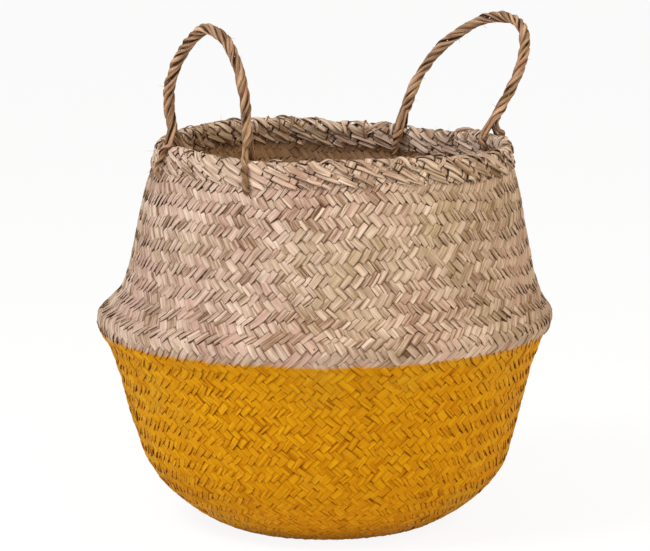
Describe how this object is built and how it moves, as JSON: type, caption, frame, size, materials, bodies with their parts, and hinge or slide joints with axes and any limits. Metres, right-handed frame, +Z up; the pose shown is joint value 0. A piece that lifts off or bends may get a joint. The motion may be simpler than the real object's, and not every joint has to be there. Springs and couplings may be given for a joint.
{
  "type": "basket bag",
  "caption": "Hand-plaited seagrass belly basket with a painted lower half, a thick braided rim and twisted rope handles that swing over the mouth.",
  "frame": {"origin": "middle of the underside of the base, on the surface the basket stands on", "axes": "+Z up along the basket's axis, +X from the left handle to the right handle, -Y the front"},
  "size_m": [0.3706, 0.37, 0.4162],
  "materials": {
    "painted_seagrass": "mustard paint on plaited seagrass",
    "natural_seagrass": "bare plaited seagrass",
    "braided_seagrass": "bare seagrass in a thick border plait",
    "seagrass_rope": "twisted seagrass cord"
  },
  "bodies": {
    "basket": {"base_weave": "painted_seagrass", "lower_wall": "painted_seagrass", "upper_wall": "natural_seagrass", "rim_braid": "braided_seagrass", "left_handle_front_loop": "seagrass_rope", "left_handle_back_loop": "seagrass_rope", "right_handle_front_loop": "seagrass_rope", "right_handle_back_loop": "seagrass_rope"},
    "left_handle": {"left_handle_cord_a": "seagrass_rope", "left_handle_cord_b": "seagrass_rope"},
    "right_handle": {"right_handle_cord_a": "seagrass_rope", "right_handle_cord_b": "seagrass_rope"}
  },
  "joints": [
    {"name": "left_handle_swing", "type": "hinge", "parent": "basket", "child": "left_handle", "pos_m": [-0.13151, 0, 0.3201], "axis": [0, -1, 0], "range_deg": [-101, 89]},
    {"name": "right_handle_swing", "type": "hinge", "parent": "basket", "child": "right_handle", "pos_m": [0.12808, 0, 0.3201], "axis": [0, 1, 0], "range_deg": [-127, 62]}
  ]
}
